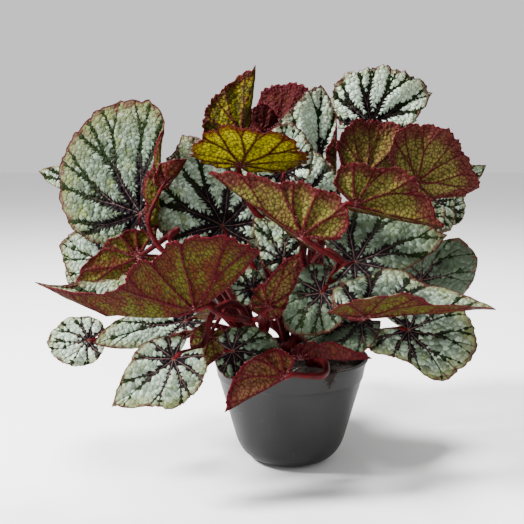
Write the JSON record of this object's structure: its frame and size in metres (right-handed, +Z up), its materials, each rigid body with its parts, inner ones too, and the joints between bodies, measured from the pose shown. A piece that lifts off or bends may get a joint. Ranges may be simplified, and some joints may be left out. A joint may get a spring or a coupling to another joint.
{
  "type": "potted rex begonia",
  "caption": "House plant in a round nursery pot: a mound of large lopsided heart-shaped leaves, silver with dark veins above and burgundy below, on red hairy stalks.",
  "frame": {"origin": "centre of the pot's flat bottom", "axes": "+Z up, the front of the plant, as in the picture, faces -Y"},
  "size_m": [0.3804, 0.3023, 0.3247],
  "materials": {
    "pot_plastic": "satin, slightly dusty",
    "potting_soil": "matt, crumbly",
    "stalk": "matt, hairy",
    "leaf": "satin, puckered"
  },
  "bodies": {
    "root": {"pot": "pot_plastic", "soil": "potting_soil", "crown_left": "stalk", "crown_right": "stalk", "crown_back": "stalk", "leaf_a": "leaf", "leaf_b": "leaf", "leaf_c": "leaf", "leaf_d": "leaf", "leaf_e": "leaf", "leaf_e2": "leaf", "leaf_f": "leaf", "leaf_g": "leaf", "leaf_h": "leaf", "leaf_i": "leaf", "leaf_j": "leaf", "leaf_k": "leaf", "leaf_l": "leaf", "leaf_m": "leaf", "leaf_n": "leaf", "leaf_o1": "leaf", "leaf_o2": "leaf", "leaf_p": "leaf", "leaf_q": "leaf", "leaf_r": "leaf", "leaf_s": "leaf", "leaf_t1": "leaf", "leaf_t2": "leaf", "leaf_u": "leaf", "leaf_v": "leaf", "leaf_w": "leaf", "leaf_x": "leaf", "leaf_y": "leaf", "leaf_z": "leaf", "leaf_aa": "leaf", "leaf_ab": "leaf", "leaf_ac": "leaf", "leaf_ad": "leaf", "leaf_ae": "leaf", "leaf_af": "leaf", "leaf_ah": "leaf", "leaf_back_1": "leaf", "leaf_back_2": "leaf", "leaf_back_3": "leaf", "leaf_back_4": "leaf", "leaf_back_5": "leaf", "leaf_back_6": "leaf", "leaf_back_7": "leaf", "leaf_back_8": "leaf", "leaf_side_1": "leaf", "leaf_side_2": "leaf", "leaf_back_9": "leaf", "leaf_d2": "leaf", "leaf_m2": "leaf", "leaf_c2": "leaf", "leaf_ag": "leaf", "leaf_in_1": "leaf", "leaf_in_2": "leaf"}
  },
  "joints": []
}
